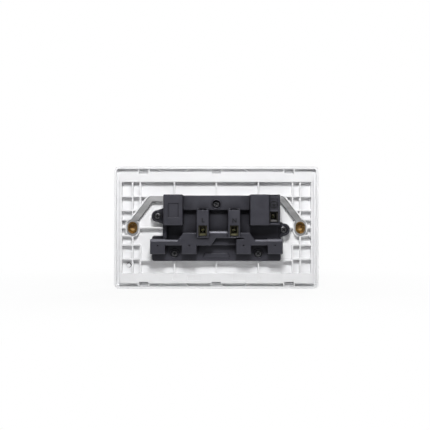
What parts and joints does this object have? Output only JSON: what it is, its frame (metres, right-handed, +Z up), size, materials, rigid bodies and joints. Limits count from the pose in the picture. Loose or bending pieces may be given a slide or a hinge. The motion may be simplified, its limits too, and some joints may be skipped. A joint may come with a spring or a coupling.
{
  "type": "two-gang socket outlet",
  "caption": "White two-gang three-pin wall socket outlet with a clip-on cover, sliding shutters, a stepped black rear housing, brass terminals and a steel earth strap.",
  "frame": {"origin": "on the wall plane, midway between the two fixing screws", "axes": "+X to the right as seen from the room, +Y into the wall, +Z up"},
  "size_m": [0.147, 0.025, 0.088],
  "materials": {
    "white_plastic": "satin white moulding",
    "black_plastic": "fine matt black moulding",
    "shutter_plastic": "plain moulding",
    "zinc_steel": "zinc-plated strip",
    "dark_steel": "blackened",
    "screw_steel": "zinc-plated",
    "spring_steel": "drawn wire",
    "brass": "stamped strip and drawn bar"
  },
  "bodies": {
    "socket": {"front_cover": "white_plastic", "mounting_frame": "white_plastic", "rear_housing": "black_plastic", "earth_strap": "zinc_steel", "housing_screws": "dark_steel", "shutter_spring_left": "spring_steel", "shutter_spring_right": "spring_steel", "eyelet_left": "brass", "eyelet_right": "brass", "live_terminal": "brass", "neutral_terminal": "brass", "earth_terminal": "brass", "live_bar": "brass", "neutral_bar": "brass", "live_contact_left": "brass", "live_contact_right": "brass", "neutral_contact_left": "brass", "neutral_contact_right": "brass", "earth_contact_left": "brass", "earth_contact_right": "brass"},
    "shutter_left_body": {"shutter_left": "shutter_plastic"},
    "shutter_right_body": {"shutter_right": "shutter_plastic"},
    "live_terminal_screw_body": {"live_terminal_screw": "screw_steel"},
    "neutral_terminal_screw_body": {"neutral_terminal_screw": "screw_steel"},
    "earth_terminal_screw_body": {"earth_terminal_screw": "screw_steel"}
  },
  "joints": [
    {"name": "shutter_left_slide", "type": "slide", "parent": "socket", "child": "shutter_left_body", "axis": [0, 0, -1], "range_m": [0, 0.0066], "stiffness_N_per_m": 150, "springref_m": -0.006, "deforming": ["shutter_spring_left"]},
    {"name": "shutter_right_slide", "type": "slide", "parent": "socket", "child": "shutter_right_body", "axis": [0, 0, -1], "range_m": [0, 0.0066], "stiffness_N_per_m": 150, "springref_m": -0.006, "deforming": ["shutter_spring_right"]},
    {"name": "live_terminal_screw_travel", "type": "slide", "parent": "socket", "child": "live_terminal_screw_body", "axis": [0, 0, -1], "range_m": [0, 0.0042]},
    {"name": "neutral_terminal_screw_travel", "type": "slide", "parent": "socket", "child": "neutral_terminal_screw_body", "axis": [0, 0, -1], "range_m": [0, 0.0042]},
    {"name": "earth_terminal_screw_travel", "type": "slide", "parent": "socket", "child": "earth_terminal_screw_body", "axis": [0, 0, -1], "range_m": [0, 0.0042]}
  ]
}
